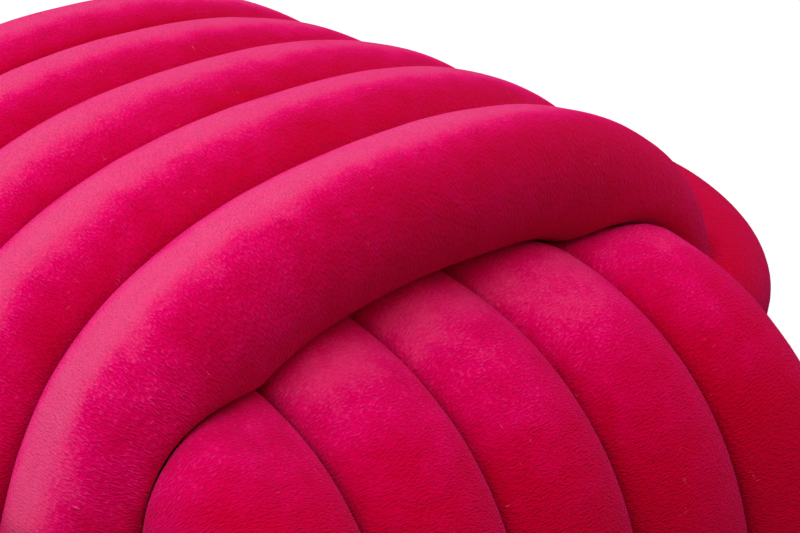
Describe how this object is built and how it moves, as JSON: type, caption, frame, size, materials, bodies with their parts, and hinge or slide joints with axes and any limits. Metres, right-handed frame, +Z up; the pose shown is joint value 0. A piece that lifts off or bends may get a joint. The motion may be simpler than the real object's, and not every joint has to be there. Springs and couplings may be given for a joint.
{
  "type": "knot pouf",
  "caption": "Knot pouf of plump stuffed velvet tube, wound over and under itself in crossing bands, for use as a low seat or footrest.",
  "frame": {"origin": "middle of the outer box, on the floor that the pouf stands on", "axes": "+Z up, +X along the tubes that lie on top, -Y towards the face whose tubes run up and down in the picture"},
  "size_m": [0.4982, 0.4818, 0.4146],
  "materials": {
    "velvet": "crimson velvet with a short pile and a pink sheen"
  },
  "bodies": {
    "root": {"winding_over_top": "velvet", "winding_front_back": "velvet", "winding_round_waist": "velvet"}
  },
  "joints": []
}
